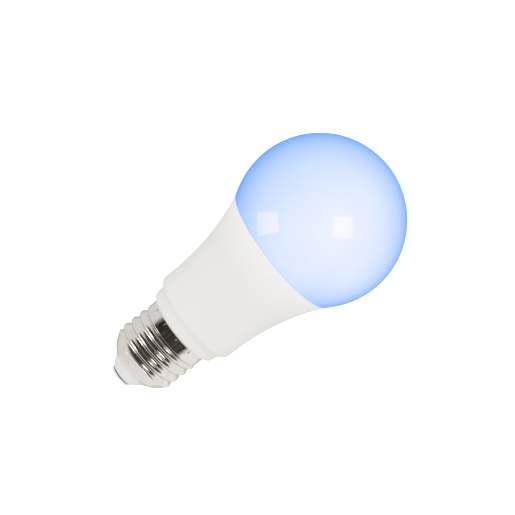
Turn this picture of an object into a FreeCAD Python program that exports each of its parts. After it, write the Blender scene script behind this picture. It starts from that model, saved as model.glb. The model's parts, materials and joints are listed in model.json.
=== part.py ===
"""A connected colour LED lamp with an E27 screw cap, one STEP file per physical piece.

Millimetres.  The origin is the middle of the centre contact's flat face, +Z runs up the lamp's
axis to the top of the globe, and -Y is the lamp's front.
"""
import FreeCAD, Part
import math
import os

from FreeCAD import Vector

UP = Vector(0, 0, 1)
CLEARANCE = 0.05                        # running gap left between pieces that slip together

# ---- outer form -------------------------------------------------------------------------
GLOBE_RADIUS = 30.0
GLOBE_CENTRE_Z = 88.9
GLOBE_WALL = 1.2
GLOBE_BLEND_Z = 77.0                    # below this height the globe flattens towards the seam
GLOBE_BLEND_RADIUS = 40.0
SEAM_Z = 71.9
SEAM_ROUNDING = 0.22

HOUSING_WALL = 1.6
WAIST_RADIUS = 17.5                     # narrowest part of the long concave side
WAIST_Z = 36.9
SHOULDER_Z = 33.6
COLLAR_RADIUS = 15.0
COLLAR_TOP_Z = 31.3

# ---- E27 screw cap ----------------------------------------------------------------------
CAP_TOP_Z = 27.05
CAP_WALL = 0.3
RIM_RADIUS = 12.85
THREAD_CREST_RADIUS = 13.15
THREAD_ROOT_RADIUS = 12.2
THREAD_PITCH = 3.629
THREAD_START_Z = 7.18                   # height of the crest where the helix crosses +X
THREAD_TURNS = 4.5
THREAD_LAND = 0.02                      # the core stands this far above the thread's root arc
CAP_MOUTH_RADIUS = 8.5                  # lower edge of the metal shell
CAP_MOUTH_Z = 5.1
STAKE_COUNT = 12
STAKE_START_ANGLE = 9.0                 # first stake mark, to the right of the front
STAKE_Z = 26.3
STAKE_RADIUS = 0.4
STAKE_LENGTH = 0.15                     # straight part between the rounded ends
STAKE_DEPTH = 0.28

NECK_OUTER = 11.75                      # plastic neck inside the threaded part of the cap
NECK_INNER = 10.3
NECK_BOTTOM_Z = 12.0

CONTACT_RADIUS = 4.4
CONTACT_THICKNESS = 0.7
BARREL_RADIUS = 1.4
BARREL_BORE = 0.8
BARREL_TOP_Z = 6.6

# ---- light engine -----------------------------------------------------------------------
CUP_GAP = 0.1
CUP_WALL = 0.8
CUP_BOTTOM_Z = 38.0
PLATE_Z = 68.0
PLATE_THICKNESS = 1.5
PAD_THICKNESS = 0.25
PAD_RADIUS = 18.6
LED_BOARD_THICKNESS = 1.2
LED_BOARD_RADIUS = 19.4
PAD_Z = PLATE_Z + PLATE_THICKNESS
SKIRT_RADIUS = 22.15                    # outside of the globe's skirt, inside the housing's mouth
SKIRT_BOTTOM_Z = 69.8
LED_BOARD_Z = PAD_Z + PAD_THICKNESS
LED_Z = LED_BOARD_Z + LED_BOARD_THICKNESS

WHITE_LED_COUNT = 12
WHITE_LED_CIRCLE = 15.8
WHITE_LED_SIZE = (2.8, 3.5, 0.7)
COLOUR_LED_COUNT = 6
COLOUR_LED_CIRCLE = 11.2
COLOUR_LED_SIZE = (3.5, 3.5, 0.9)
LED_WINDOW_DEPTH = 0.4
LED_WINDOW_MARGIN = 0.45

SCREW_COUNT = 3
SCREW_RADIUS = 1.0
SCREW_HEAD_RADIUS = 1.8
SCREW_HEAD_HEIGHT = 1.3
SCREW_TIP_Z = PLATE_Z - 1.2

# ---- boards -----------------------------------------------------------------------------
DRIVER_FRONT_Y = 1.4
DRIVER_THICKNESS = 1.6
DRIVER_BACK_Y = DRIVER_FRONT_Y + DRIVER_THICKNESS
DRIVER_BOTTOM_Z = 12.4
DRIVER_STEP_Z = 36.6
DRIVER_TOP_Z = 65.0
DRIVER_NECK_WIDTH = 18.4
DRIVER_WIDTH = 28.0

RADIO_GAP = 2.0
RADIO_FRONT_Y = DRIVER_BACK_Y + RADIO_GAP
RADIO_THICKNESS = 0.8
RADIO_BACK_Y = RADIO_FRONT_Y + RADIO_THICKNESS
RADIO_WIDTH = 14.0
RADIO_BOTTOM_Z = 58.0
RADIO_TOP_Z = 86.5
SHIELD_SIZE = (11.0, 1.5, 9.5)
SHIELD_Z = 72.6
SHIELD_WALL = 0.2

HEADER_PIN_COUNT = 5
HEADER_PITCH = 2.0
HEADER_PIN_WIDTH = 0.6
HEADER_Y = 0.1
HEADER_BLOCK = (11.0, 2.4, 2.6)
HEADER_BLOCK_Z = 61.8
SOCKET_SIZE = (11.4, 3.0, 3.2)

RADIO_PIN_COUNT = 5
RADIO_PIN_Z = 61.4

LEAD_RADIUS = 0.3
LEAD_HOLE_RADIUS = 0.42
LEAD_TAIL = 0.8                         # lead left standing proud of the board's back
STAND_OFF = 0.4                         # gap under the bodies of leaded components

# Places on the driver board, (across, up), for every leaded component.
FUSE_X, FUSE_Z, FUSE_Y = -5.0, 18.6, -1.2
FUSE_LENGTH, FUSE_RADIUS = 6.6, 1.6
VARISTOR_X, VARISTOR_Z = 4.4, 18.0
VARISTOR_RADIUS, VARISTOR_WIDTH = 3.3, 3.2
FILM_SIZE = (10.0, 8.0, 6.2)
FILM_Z = 25.0
FILM_LEAD_SPACING = 7.5
CHOKE_X, CHOKE_Z = -7.2, 41.0
CHOKE_RADIUS, CHOKE_HEIGHT = 4.0, 8.0
CHOKE_FLANGE = 1.2
CHOKE_TURNS = 8
INPUT_CAN = {"x": 5.4, "y": -3.4, "z": 36.4, "radius": 4.0, "length": 11.5}
OUTPUT_CAN = {"x": 9.2, "y": -2.6, "z": 50.6, "radius": 3.15, "length": 10.6}
SLEEVE_WALL = 0.2
SLEEVE_GAP = 0.01
TRANSFORMER_X, TRANSFORMER_Z = -4.2, 54.6
TRANSFORMER_Y = -4.4
CORE_SIZE = (13.2, 5.8, 12.4)
CORE_LIMB = 2.6
BOBBIN_SIZE = (7.8, 10.4, 7.0)
BOBBIN_FLANGE = 0.7
BOBBIN_WALL = 0.6

LIVE_LEAD = (0.0, 14.2)
NEUTRAL_LEAD = (7.0, 14.2)
SUPPLY_WIRE_RADIUS = 0.45

# Chips on the driver board's back: middle of the body, its size, and its leads on each side.
BRIDGE = {"x": 0.0, "z": 19.0, "size": (4.0, 2.3, 4.8), "leads": 2, "pitch": 2.5}
DRIVER_CHIP = {"x": -6.4, "z": 46.0, "size": (3.9, 1.45, 4.9), "leads": 4, "pitch": 1.27}
LED_CHIP = {"x": 3.6, "z": 47.0, "size": (3.9, 1.45, 8.6), "leads": 7, "pitch": 1.27}
CHIP_GAP = 0.15                         # air under the body of a chip
CHIP_LEAD_THICKNESS = 0.2
CHIP_LEAD_WIDTH = 0.4


# ---- drawing helpers --------------------------------------------------------------------
def point(radius, height):
    """A point of a turned outline, in the XZ half plane."""
    return Vector(radius, 0, height)


def corner_arc(before, here, after, radius):
    """The arc that rounds one corner of a path, between the points where it starts and ends."""
    back = (before - here).normalize()
    onward = (after - here).normalize()
    half = back.getAngle(onward) / 2
    reach = radius / math.tan(half)
    start = here + back * reach
    end = here + onward * reach
    middle = here + (back + onward).normalize() * (radius / math.sin(half) - radius)
    return start, Part.Arc(start, middle, end).toShape(), end


def rounded_path(corners):
    """Edges through (radius, height[, rounding]) corners, rounded by an arc where asked."""
    places = [point(corner[0], corner[1]) for corner in corners]
    edges = []
    last = places[0]
    for before, here, after, corner in zip(places, places[1:], places[2:], corners[1:]):
        if len(corner) == 2:
            edges.append(Part.makeLine(last, here))
            last = here
            continue
        start, arc, end = corner_arc(before, here, after, corner[2])
        edges.append(Part.makeLine(last, start))
        edges.append(arc)
        last = end
    edges.append(Part.makeLine(last, places[-1]))
    return edges


def arc_path(centre, radius, start_angle, end_angle):
    """One arc of a turned outline, its angles measured from the outward direction."""
    angles = (start_angle, (start_angle + end_angle) / 2, end_angle)
    places = [centre + point(math.cos(a), math.sin(a)) * radius for a in angles]
    return [Part.Arc(*places).toShape()]


def reverse_path(edges):
    """The same run of edges, listed from its other end."""
    return list(reversed(edges))


def ends(edge):
    """The two end points of an edge."""
    return edge.Vertexes[0].Point, edge.Vertexes[-1].Point


def distance_to_nearest(place, others):
    return min(place.distanceToPoint(other) for other in others)


def closed_wire(edges):
    """Join edges in order, bridging every gap with a straight line."""
    start, here = ends(edges[0])
    following = ends(edges[1])
    if distance_to_nearest(start, following) < distance_to_nearest(here, following):
        start, here = here, start
    sequence = [edges[0]]
    for edge in edges[1:]:
        one, other = ends(edge)
        if other.distanceToPoint(here) < one.distanceToPoint(here):
            one, other = other, one
        if one.distanceToPoint(here) > 1e-6:
            sequence.append(Part.makeLine(here, one))
        sequence.append(edge)
        here = other
    if here.distanceToPoint(start) > 1e-6:
        sequence.append(Part.makeLine(here, start))
    return Part.Wire(sequence)


def turned(*runs):
    """Solid of revolution about the lamp's axis from runs of outline edges."""
    edges = [edge for run in runs for edge in run]
    return Part.Face(closed_wire(edges)).revolve(Vector(0, 0, 0), UP, 360)


def turned_polygon(corners):
    """Solid of revolution from a closed list of corners."""
    return turned(rounded_path(list(corners) + [corners[0][:2]]))


def block(centre_x, centre_y, bottom_z, size):
    """Box standing on bottom_z, centred across and along."""
    width, depth, height = size
    return Part.makeBox(width, depth, height, Vector(centre_x - width / 2, centre_y - depth / 2, bottom_z))


def disc(radius, bottom_z, thickness):
    return Part.makeCylinder(radius, thickness, Vector(0, 0, bottom_z))


def rod(start, end, radius):
    """Straight round rod between two points."""
    return Part.makeCylinder(radius, (end - start).Length, start, end - start)


def bent_wire(places, bend_radius, wire_radius):
    """Round wire through corner points, every corner turned by a tangent arc."""
    edges = []
    last = places[0]
    for before, here, after in zip(places, places[1:], places[2:]):
        start, arc, end = corner_arc(before, here, after, bend_radius)
        edges.append(Part.makeLine(last, start))
        edges.append(arc)
        last = end
    edges.append(Part.makeLine(last, places[-1]))
    section = Part.Wire(Part.makeCircle(wire_radius, places[0], places[1] - places[0]))
    return Part.Wire(edges).makePipeShell([section], True, False)


def around_axis(shape, count, start_angle=0.0):
    """Copies of a shape spaced evenly round the lamp's axis."""
    copies = []
    for index in range(count):
        copy = shape.copy()
        copy.rotate(Vector(0, 0, 0), UP, start_angle + index * 360.0 / count)
        copies.append(copy)
    return copies


def group(shapes):
    """Several separate solids that make one node."""
    return Part.makeCompound(shapes)


def in_a_row(count, pitch):
    """Centred positions along a row."""
    return [(index - (count - 1) / 2) * pitch for index in range(count)]


# ---- outlines shared by neighbouring pieces ---------------------------------------------
def globe_blend_centre():
    """Centre of the flatter arc that meets the sphere tangentially at GLOBE_BLEND_Z."""
    angle = math.asin((GLOBE_CENTRE_Z - GLOBE_BLEND_Z) / GLOBE_RADIUS)
    shift = GLOBE_BLEND_RADIUS - GLOBE_RADIUS
    return point(-shift * math.cos(angle), GLOBE_CENTRE_Z + shift * math.sin(angle)), angle


def seam_radius():
    centre, _ = globe_blend_centre()
    return centre.x + math.sqrt(GLOBE_BLEND_RADIUS ** 2 - (centre.z - SEAM_Z) ** 2)


def housing_arc_centre():
    """Centre of the concave side, upright at the waist and passing through the seam."""
    rise = SEAM_Z - WAIST_Z
    widening = seam_radius() - WAIST_RADIUS
    arc_radius = (rise ** 2 + widening ** 2) / (2 * widening)
    return point(WAIST_RADIUS + arc_radius, WAIST_Z), arc_radius


def housing_radius(height, inset):
    """Radius of the concave side at a height, set in from the outside."""
    centre, arc_radius = housing_arc_centre()
    return centre.x - math.sqrt((arc_radius + inset) ** 2 - (height - centre.z) ** 2)


def housing_arc(inset, low_z, high_z):
    """Run of the concave side between two heights, set in from the outside."""
    centre, arc_radius = housing_arc_centre()
    radius = arc_radius + inset
    low = math.pi - math.asin((low_z - centre.z) / radius)
    high = math.pi - math.asin((high_z - centre.z) / radius)
    return arc_path(centre, radius, low, high)


# ---- screw cap --------------------------------------------------------------------------
def centre_contact():
    """Flat brass button with a hollow rivet barrel rising into the insulator."""
    return turned_polygon([
        (0, 0),
        (CONTACT_RADIUS - 0.35, 0, 0.55),
        (CONTACT_RADIUS, CONTACT_THICKNESS),
        (BARREL_RADIUS, CONTACT_THICKNESS),
        (BARREL_RADIUS, BARREL_TOP_Z),
        (BARREL_BORE, BARREL_TOP_Z),
        (BARREL_BORE, CONTACT_THICKNESS),
        (0, CONTACT_THICKNESS),
    ])


def contact_pin():
    """Headed pin pressed into the barrel, carrying the live wire."""
    shank = disc(BARREL_BORE - CLEARANCE, CONTACT_THICKNESS + 0.3, BARREL_TOP_Z - CONTACT_THICKNESS - 0.3)
    head = disc(BARREL_RADIUS, BARREL_TOP_Z, 0.8)
    return shank.fuse(head).removeSplitter()


def cap_insulator():
    """White conical insulator that holds the contact in the mouth of the screw shell."""
    wall = 1.5
    boss_radius = BARREL_RADIUS + 1.2
    top_z = 8.8
    return turned_polygon([
        (BARREL_RADIUS + CLEARANCE, CONTACT_THICKNESS),
        (CONTACT_RADIUS + 0.1, CONTACT_THICKNESS),
        (8.05, CAP_MOUTH_Z - 0.15, 0.3),
        (8.2, CAP_MOUTH_Z + 0.3),
        (10.0, 6.88),
        (11.15, 8.3),
        (11.15, top_z),
        (11.15 - wall, top_z),
        (8.2, 6.9),
        (boss_radius + 1.6, 3.0, 0.6),
        (boss_radius, 3.0),
        (boss_radius, 5.6),
        (BARREL_RADIUS + CLEARANCE, 5.6),
    ])


def cap_outline(inset, valley_radius):
    """Outer face of the screw shell, set in by a wall, with the thread zone at one radius."""
    cone_rise = 0.8
    return [
        (CAP_MOUTH_RADIUS - inset * 0.6, CAP_MOUTH_Z + inset * cone_rise),
        (10.3 - inset * 0.7, 6.55 + inset * 0.7, 2.0),
        (valley_radius - inset, 9.2 + (valley_radius - THREAD_ROOT_RADIUS) * 1.5 + inset * 0.5, 0.6),
        (valley_radius - inset, 22.1 + inset * 0.3, 0.3),
        (RIM_RADIUS - inset, 22.9 + inset * 0.3, 0.3),
        (RIM_RADIUS - inset, CAP_TOP_Z + 1),
    ]


def cap_blank(inset, valley_radius):
    """Solid bounded by the cap's outline and flat at both ends."""
    corners = cap_outline(inset, valley_radius)
    return turned(rounded_path([(0, corners[0][1])] + corners + [(0, corners[-1][1])]))


def thread_section(inset):
    """Section of the rolled ridge: convex crest arc between two concave root arcs."""
    depth = THREAD_CREST_RADIUS - THREAD_ROOT_RADIUS
    arc_radius = (depth ** 2 + (THREAD_PITCH / 2) ** 2) / (4 * depth)
    root_arc = arc_radius + inset
    crest_centre = THREAD_CREST_RADIUS - arc_radius
    root_centre = THREAD_ROOT_RADIUS + arc_radius
    tangent = math.atan2(THREAD_PITCH / 2, root_centre - crest_centre)
    landing = math.acos((root_arc - THREAD_LAND) / root_arc)

    def on_root(side, angle):
        offset = point(-math.cos(angle), -side * math.sin(angle)) * root_arc
        return point(root_centre, side * THREAD_PITCH / 2) + offset

    lower = [on_root(-1, angle) for angle in (landing, (landing + tangent) / 2, tangent)]
    upper = [on_root(1, angle) for angle in (tangent, (landing + tangent) / 2, landing)]
    crest = point(THREAD_CREST_RADIUS - inset, 0)
    buried = THREAD_ROOT_RADIUS - inset - 0.25
    return closed_wire([
        Part.Arc(*lower).toShape(),
        Part.Arc(lower[-1], crest, upper[0]).toShape(),
        Part.Arc(*upper).toShape(),
        Part.makeLine(point(buried, upper[-1].z), point(buried, lower[0].z)),
    ])


def thread_ridge(inset):
    """The ridge swept along a right-hand helix."""
    section = thread_section(inset)
    section.translate(Vector(0, 0, THREAD_START_Z))
    helix = Part.makeHelix(THREAD_PITCH, THREAD_PITCH * THREAD_TURNS, THREAD_CREST_RADIUS)
    helix.translate(Vector(0, 0, THREAD_START_Z))
    return Part.Wire(helix.Edges).makePipeShell([section], True, True)


def threaded_blank(inset):
    """Cap outline plus the ridge, the ridge running out into the rim and into the cone."""
    core = cap_blank(inset, THREAD_ROOT_RADIUS + THREAD_LAND)
    envelope = cap_blank(inset, THREAD_CREST_RADIUS + 0.02)
    return core.fuse(thread_ridge(inset).common(envelope))


def stake_punches(radius):
    """Upright round-ended punches round the rim, all biting to the same depth."""
    axis_radius = RIM_RADIUS + STAKE_RADIUS - STAKE_DEPTH
    foot = Vector(0, -axis_radius, STAKE_Z - STAKE_LENGTH / 2)
    head = foot + UP * STAKE_LENGTH
    punch = rod(foot, head, radius)
    punch = punch.fuse([Part.makeSphere(radius, foot), Part.makeSphere(radius, head)])
    return around_axis(punch, STAKE_COUNT, STAKE_START_ANGLE)


def screw_shell():
    """Thin nickel-plated brass shell with a rolled Edison thread and staked rim."""
    bore = threaded_blank(CAP_WALL)
    shell = threaded_blank(0).cut(bore)
    mouth = disc(cap_outline(CAP_WALL, THREAD_ROOT_RADIUS)[0][0], CAP_MOUTH_Z - 1, 2)
    shell = shell.cut([disc(2 * RIM_RADIUS, CAP_TOP_Z, 2), mouth])
    bulges = [punch.common(bore) for punch in stake_punches(STAKE_RADIUS + CAP_WALL)]
    shell = shell.fuse(bulges)
    return shell.cut(stake_punches(STAKE_RADIUS))


# ---- housing and globe ------------------------------------------------------------------
def housing_shell():
    """White housing: flared body, collar above the cap and a neck inside the cap."""
    outside = rounded_path([
        (NECK_INNER, NECK_BOTTOM_Z),
        (NECK_OUTER, NECK_BOTTOM_Z),
        (NECK_OUTER, 22.4),
        (RIM_RADIUS - CAP_WALL - CLEARANCE, 23.4),
        (RIM_RADIUS - CAP_WALL - CLEARANCE, CAP_TOP_Z),
        (RIM_RADIUS, CAP_TOP_Z),
        (COLLAR_RADIUS - 0.15, CAP_TOP_Z + 0.9, 1.3),
        (COLLAR_RADIUS + 0.35, COLLAR_TOP_Z, 1.2),
        (WAIST_RADIUS - 0.1, SHOULDER_Z, 1.5),
        (WAIST_RADIUS, WAIST_Z),
    ])
    side = housing_arc(0, WAIST_Z, SEAM_Z - SEAM_ROUNDING)
    mouth = rounded_path([
        (housing_radius(SEAM_Z - SEAM_ROUNDING, 0), SEAM_Z - SEAM_ROUNDING),
        (seam_radius() - SEAM_ROUNDING, SEAM_Z),
        (housing_radius(SEAM_Z, HOUSING_WALL), SEAM_Z),
    ])
    inner_side = reverse_path(housing_arc(HOUSING_WALL, WAIST_Z, SEAM_Z))
    inside = rounded_path([
        (WAIST_RADIUS - HOUSING_WALL, WAIST_Z),
        (WAIST_RADIUS - HOUSING_WALL, 35.3, 1.0),
        (13.3, 33.2, 1.0),
        (13.3, 30.2, 1.0),
        (NECK_INNER, 28.6),
        (NECK_INNER, NECK_BOTTOM_Z),
    ])
    housing = turned(outside, side, mouth, inner_side, inside)
    housing = housing.cut(stake_punches(STAKE_RADIUS + CAP_WALL + CLEARANCE))
    return housing.fuse(board_rails()).removeSplitter()


def board_rails():
    """Upright ribs in the neck that hold the driver board's edges, two at each edge."""
    rib = (2.6, 0.9, 27.6 - NECK_BOTTOM_Z)
    neck_wall = disc(NECK_INNER + 0.3, NECK_BOTTOM_Z, rib[2])
    ribs = []
    for side in (-1, 1):
        for face in (DRIVER_FRONT_Y - rib[1] / 2 - CLEARANCE, DRIVER_BACK_Y + rib[1] / 2 + CLEARANCE):
            ribs.append(block(side * (NECK_INNER - 0.9), face, NECK_BOTTOM_Z, rib).common(neck_wall))
    return ribs


def diffuser_globe():
    """Milky globe with a skirt that drops inside the housing's mouth."""
    blend_centre, blend_angle = globe_blend_centre()
    centre = point(0, GLOBE_CENTRE_Z)
    edge_z = SEAM_Z + SEAM_ROUNDING
    skirt_inner = SKIRT_RADIUS - GLOBE_WALL

    def side(inset, low_z):
        radius = GLOBE_BLEND_RADIUS - inset
        low = -math.asin((blend_centre.z - low_z) / radius)
        return arc_path(blend_centre, radius, low, -blend_angle)

    def dome(inset):
        return arc_path(centre, GLOBE_RADIUS - inset, -blend_angle, math.pi / 2)

    inner_low_z = SEAM_Z + GLOBE_WALL
    skirt = rounded_path([
        (skirt_inner, inner_low_z),
        (skirt_inner, SKIRT_BOTTOM_Z),
        (SKIRT_RADIUS, SKIRT_BOTTOM_Z),
        (SKIRT_RADIUS, SEAM_Z),
        (seam_radius() - SEAM_ROUNDING, SEAM_Z),
        (blend_centre.x + math.sqrt(GLOBE_BLEND_RADIUS ** 2 - (blend_centre.z - edge_z) ** 2), edge_z),
    ])
    outer = side(0, edge_z) + dome(0)
    inner = reverse_path(side(GLOBE_WALL, inner_low_z) + dome(GLOBE_WALL))
    return turned(skirt, outer, inner)


def diffuser_seal():
    """Bead of silicone that glues the skirt into the housing's mouth."""
    bottom = SKIRT_BOTTOM_Z + 0.4
    top = SEAM_Z - 0.1
    wall = housing_arc(HOUSING_WALL + 0.01, bottom, top)
    back = rounded_path([(SKIRT_RADIUS, top), (SKIRT_RADIUS, bottom)])
    return turned(wall, back)


# ---- light engine -----------------------------------------------------------------------
def heat_sink_cup():
    """Aluminium liner following the housing, with a flange that carries the plate."""
    outset = HOUSING_WALL + CUP_GAP
    inset = outset + CUP_WALL
    flange_z = PLATE_Z - CUP_WALL
    flange_inner = housing_radius(PLATE_Z, inset) - 2.2
    outer = housing_arc(outset, CUP_BOTTOM_Z, PLATE_Z)
    flange = rounded_path([
        (housing_radius(PLATE_Z, outset), PLATE_Z),
        (flange_inner, PLATE_Z),
        (flange_inner, flange_z),
        (housing_radius(flange_z, inset), flange_z),
    ])
    inner = reverse_path(housing_arc(inset, CUP_BOTTOM_Z, flange_z))
    return turned(outer, flange, inner)


def board_openings(bottom_z, thickness, margin):
    """Slots for the LED header and for the radio board, through one layer of the stack."""
    header = (HEADER_BLOCK[0] + 2 * margin, HEADER_BLOCK[1] + 2 * margin, thickness)
    radio_depth = SHIELD_SIZE[1] + RADIO_THICKNESS + 2 * margin
    radio = (RADIO_WIDTH + 2 * margin, radio_depth, thickness)
    radio_y = RADIO_FRONT_Y - margin + radio_depth / 2
    return [block(0, HEADER_Y, bottom_z, header), block(0, radio_y, bottom_z, radio)]


def screw_axes():
    """Half way between neighbouring white LEDs."""
    return 180.0 / WHITE_LED_COUNT


def screw_holes(radius, bottom_z, thickness):
    hole = Part.makeCylinder(radius, thickness, Vector(WHITE_LED_CIRCLE, 0, bottom_z))
    return around_axis(hole, SCREW_COUNT, screw_axes())


def spreader_plate():
    """Aluminium plate that takes the LEDs' heat out to the liner."""
    radius = housing_radius(PLATE_Z, HOUSING_WALL) - 2 * CLEARANCE
    plate = disc(radius, PLATE_Z, PLATE_THICKNESS)
    plate = plate.cut(board_openings(PLATE_Z, PLATE_THICKNESS, 0.6))
    return plate.cut(screw_holes(SCREW_RADIUS + CLEARANCE, PLATE_Z, PLATE_THICKNESS))


def thermal_pad():
    """Thin grey gap-filling pad under the LED board."""
    pad = disc(PAD_RADIUS, PAD_Z, PAD_THICKNESS)
    pad = pad.cut(board_openings(PAD_Z, PAD_THICKNESS, 0.8))
    return pad.cut(screw_holes(SCREW_RADIUS + 0.3, PAD_Z, PAD_THICKNESS))


def led_board():
    """White aluminium-core board with pin holes, radio slot and screw holes."""
    board = disc(LED_BOARD_RADIUS, LED_BOARD_Z, LED_BOARD_THICKNESS)
    board = board.cut(board_openings(LED_BOARD_Z, LED_BOARD_THICKNESS, 0.3)[1])
    width = HEADER_PIN_WIDTH + 0.3
    holes = [
        block(x, HEADER_Y, LED_BOARD_Z, (width, width, LED_BOARD_THICKNESS))
        for x in in_a_row(HEADER_PIN_COUNT, HEADER_PITCH)
    ]
    holes += screw_holes(SCREW_RADIUS + 0.15, LED_BOARD_Z, LED_BOARD_THICKNESS)
    return board.cut(holes)


def led_window(size, centre_x):
    """Clear filling of one package's reflector cup."""
    width, depth, height = size
    window = (width - 2 * LED_WINDOW_MARGIN, depth - 2 * LED_WINDOW_MARGIN, LED_WINDOW_DEPTH)
    return block(centre_x, 0, LED_Z + height - LED_WINDOW_DEPTH, window)


def led_package(size, centre_x):
    """One LED package with its reflector cup left open."""
    return block(centre_x, 0, LED_Z, size).cut(led_window(size, centre_x))


def led_white():
    return group(around_axis(led_package(WHITE_LED_SIZE, WHITE_LED_CIRCLE), WHITE_LED_COUNT))


def led_white_phosphor():
    return group(around_axis(led_window(WHITE_LED_SIZE, WHITE_LED_CIRCLE), WHITE_LED_COUNT))


def square_to_axes(shape):
    """Colour LEDs sit on a circle but stay square to the board, clear of the radio slot."""
    copies = []
    for index in range(COLOUR_LED_COUNT):
        angle = 2 * math.pi * index / COLOUR_LED_COUNT
        copy = shape.copy()
        copy.translate(Vector(math.cos(angle), math.sin(angle), 0) * COLOUR_LED_CIRCLE)
        copies.append(copy)
    return group(copies)


def led_colour():
    return square_to_axes(led_package(COLOUR_LED_SIZE, 0))


def led_colour_window():
    return square_to_axes(led_window(COLOUR_LED_SIZE, 0))


def led_board_screws():
    """Pan-head cross-recess screws clamping board, pad and plate."""
    centre = Vector(WHITE_LED_CIRCLE, 0, SCREW_TIP_Z)
    shank = Part.makeCylinder(SCREW_RADIUS, LED_Z - SCREW_TIP_Z, centre)
    head = Part.makeCylinder(SCREW_HEAD_RADIUS, SCREW_HEAD_HEIGHT, Vector(WHITE_LED_CIRCLE, 0, LED_Z))
    rim = [edge for edge in head.Edges if edge.Vertexes[0].Point.z > LED_Z + 0.1 and edge.Closed]
    head = head.makeFillet(0.6, rim)
    recess_z = LED_Z + SCREW_HEAD_HEIGHT - 0.7
    recess = [
        block(WHITE_LED_CIRCLE, 0, recess_z, (2.0, 0.4, 1.0)),
        block(WHITE_LED_CIRCLE, 0, recess_z, (0.4, 2.0, 1.0)),
    ]
    screw = shank.fuse(head).removeSplitter().cut(recess)
    return group(around_axis(screw, SCREW_COUNT, screw_axes()))


def led_header_block():
    """Black strip on the driver board that holds the LED pins upright."""
    holder = block(0, HEADER_Y, HEADER_BLOCK_Z, HEADER_BLOCK)
    width = HEADER_PIN_WIDTH
    channels = [
        block(x, HEADER_Y, HEADER_BLOCK_Z, (width, width, HEADER_BLOCK[2]))
        for x in in_a_row(HEADER_PIN_COUNT, HEADER_PITCH)
    ]
    return holder.cut(channels)


def led_header_pins():
    """Square pins from the driver board up into the LED board's socket."""
    height = LED_Z + SOCKET_SIZE[2] - 0.6 - HEADER_BLOCK_Z
    width = HEADER_PIN_WIDTH
    return group([
        block(x, HEADER_Y, HEADER_BLOCK_Z, (width, width, height))
        for x in in_a_row(HEADER_PIN_COUNT, HEADER_PITCH)
    ])


def led_socket():
    """White socket on the LED board."""
    body = block(0, HEADER_Y, LED_Z, SOCKET_SIZE)
    width = HEADER_PIN_WIDTH + 2 * CLEARANCE
    holes = [
        block(x, HEADER_Y, LED_Z, (width, width, SOCKET_SIZE[2]))
        for x in in_a_row(HEADER_PIN_COUNT, HEADER_PITCH)
    ]
    return body.cut(holes)


# ---- radio board ------------------------------------------------------------------------
def radio_pin_places():
    return [(x, RADIO_PIN_Z) for x in in_a_row(RADIO_PIN_COUNT, HEADER_PITCH)]


def radio_board():
    """Small board standing through the LED board so its antenna clears the metal."""
    centre_y = RADIO_FRONT_Y + RADIO_THICKNESS / 2
    height = RADIO_TOP_Z - RADIO_BOTTOM_Z
    board = block(0, centre_y, RADIO_BOTTOM_Z, (RADIO_WIDTH, RADIO_THICKNESS, height))
    return board.cut(through_holes(radio_pin_places(), RADIO_FRONT_Y, RADIO_THICKNESS))


def shield_can():
    """Tinned can over the radio chip, open towards the board."""
    width, depth, height = SHIELD_SIZE
    centre_y = RADIO_BACK_Y + depth / 2
    hollow = (width - 2 * SHIELD_WALL, depth, height - 2 * SHIELD_WALL)
    can = block(0, centre_y, SHIELD_Z, SHIELD_SIZE)
    return can.cut(block(0, centre_y - SHIELD_WALL, SHIELD_Z + SHIELD_WALL, hollow))


def radio_chip():
    """Radio chip under the shield can."""
    return block(0, RADIO_BACK_Y + 0.45, SHIELD_Z + 2.2, (5.0, 0.9, 5.0))


def antenna_trace():
    """Meandering copper track above the shield can."""
    track, step, height = 0.5, 1.4, 3.0
    bottom = RADIO_TOP_Z - height - 0.7
    uprights = in_a_row(8, step)
    strips = [block(x, 0, bottom, (track, 0.1, height)) for x in uprights]
    for index, x in enumerate(uprights[:-1]):
        level = bottom + height - track if index % 2 == 0 else bottom
        strips.append(block(x + step / 2, 0, level, (step + track, 0.1, track)))
    trace = strips[0].fuse(strips[1:]).removeSplitter()
    trace.translate(Vector(0, RADIO_BACK_Y + 0.05, 0))
    return trace


def radio_spacer():
    """Black pin strip between the driver board and the radio board."""
    width = RADIO_PIN_COUNT * HEADER_PITCH + 0.6
    centre_y = DRIVER_BACK_Y + RADIO_GAP / 2
    strip = block(0, centre_y, RADIO_PIN_Z - 1.1, (width, RADIO_GAP, 2.2))
    return strip.cut(through_holes(radio_pin_places(), DRIVER_BACK_Y, RADIO_GAP, LEAD_RADIUS))


def radio_pins():
    front = Vector(0, DRIVER_FRONT_Y - 0.5, 0)
    back = Vector(0, RADIO_BACK_Y + 0.6, 0)
    places = [Vector(x, 0, z) for x, z in radio_pin_places()]
    return group([rod(place + front, place + back, LEAD_RADIUS) for place in places])


# ---- driver board -----------------------------------------------------------------------
def through_holes(places, front_y, thickness, radius=LEAD_HOLE_RADIUS):
    """Holes along +Y through a board at (across, up) places."""
    return [
        Part.makeCylinder(radius, thickness, Vector(x, front_y, z), Vector(0, 1, 0))
        for x, z in places
    ]


def straight_leads(places, start_y):
    """Leads from a component at start_y through the board to just behind it."""
    end_y = DRIVER_BACK_Y + LEAD_TAIL
    return [rod(Vector(x, start_y, z), Vector(x, end_y, z), LEAD_RADIUS) for x, z in places]


def fuse_places():
    reach = FUSE_LENGTH / 2 + 1.0
    return [(FUSE_X, FUSE_Z - reach), (FUSE_X, FUSE_Z + reach)]


def varistor_places():
    return [(VARISTOR_X, VARISTOR_Z - 2.5), (VARISTOR_X, VARISTOR_Z + 2.5)]


def film_places():
    centre_z = FILM_Z + FILM_SIZE[2] / 2
    return [(-FILM_LEAD_SPACING / 2, centre_z), (FILM_LEAD_SPACING / 2, centre_z)]


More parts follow.
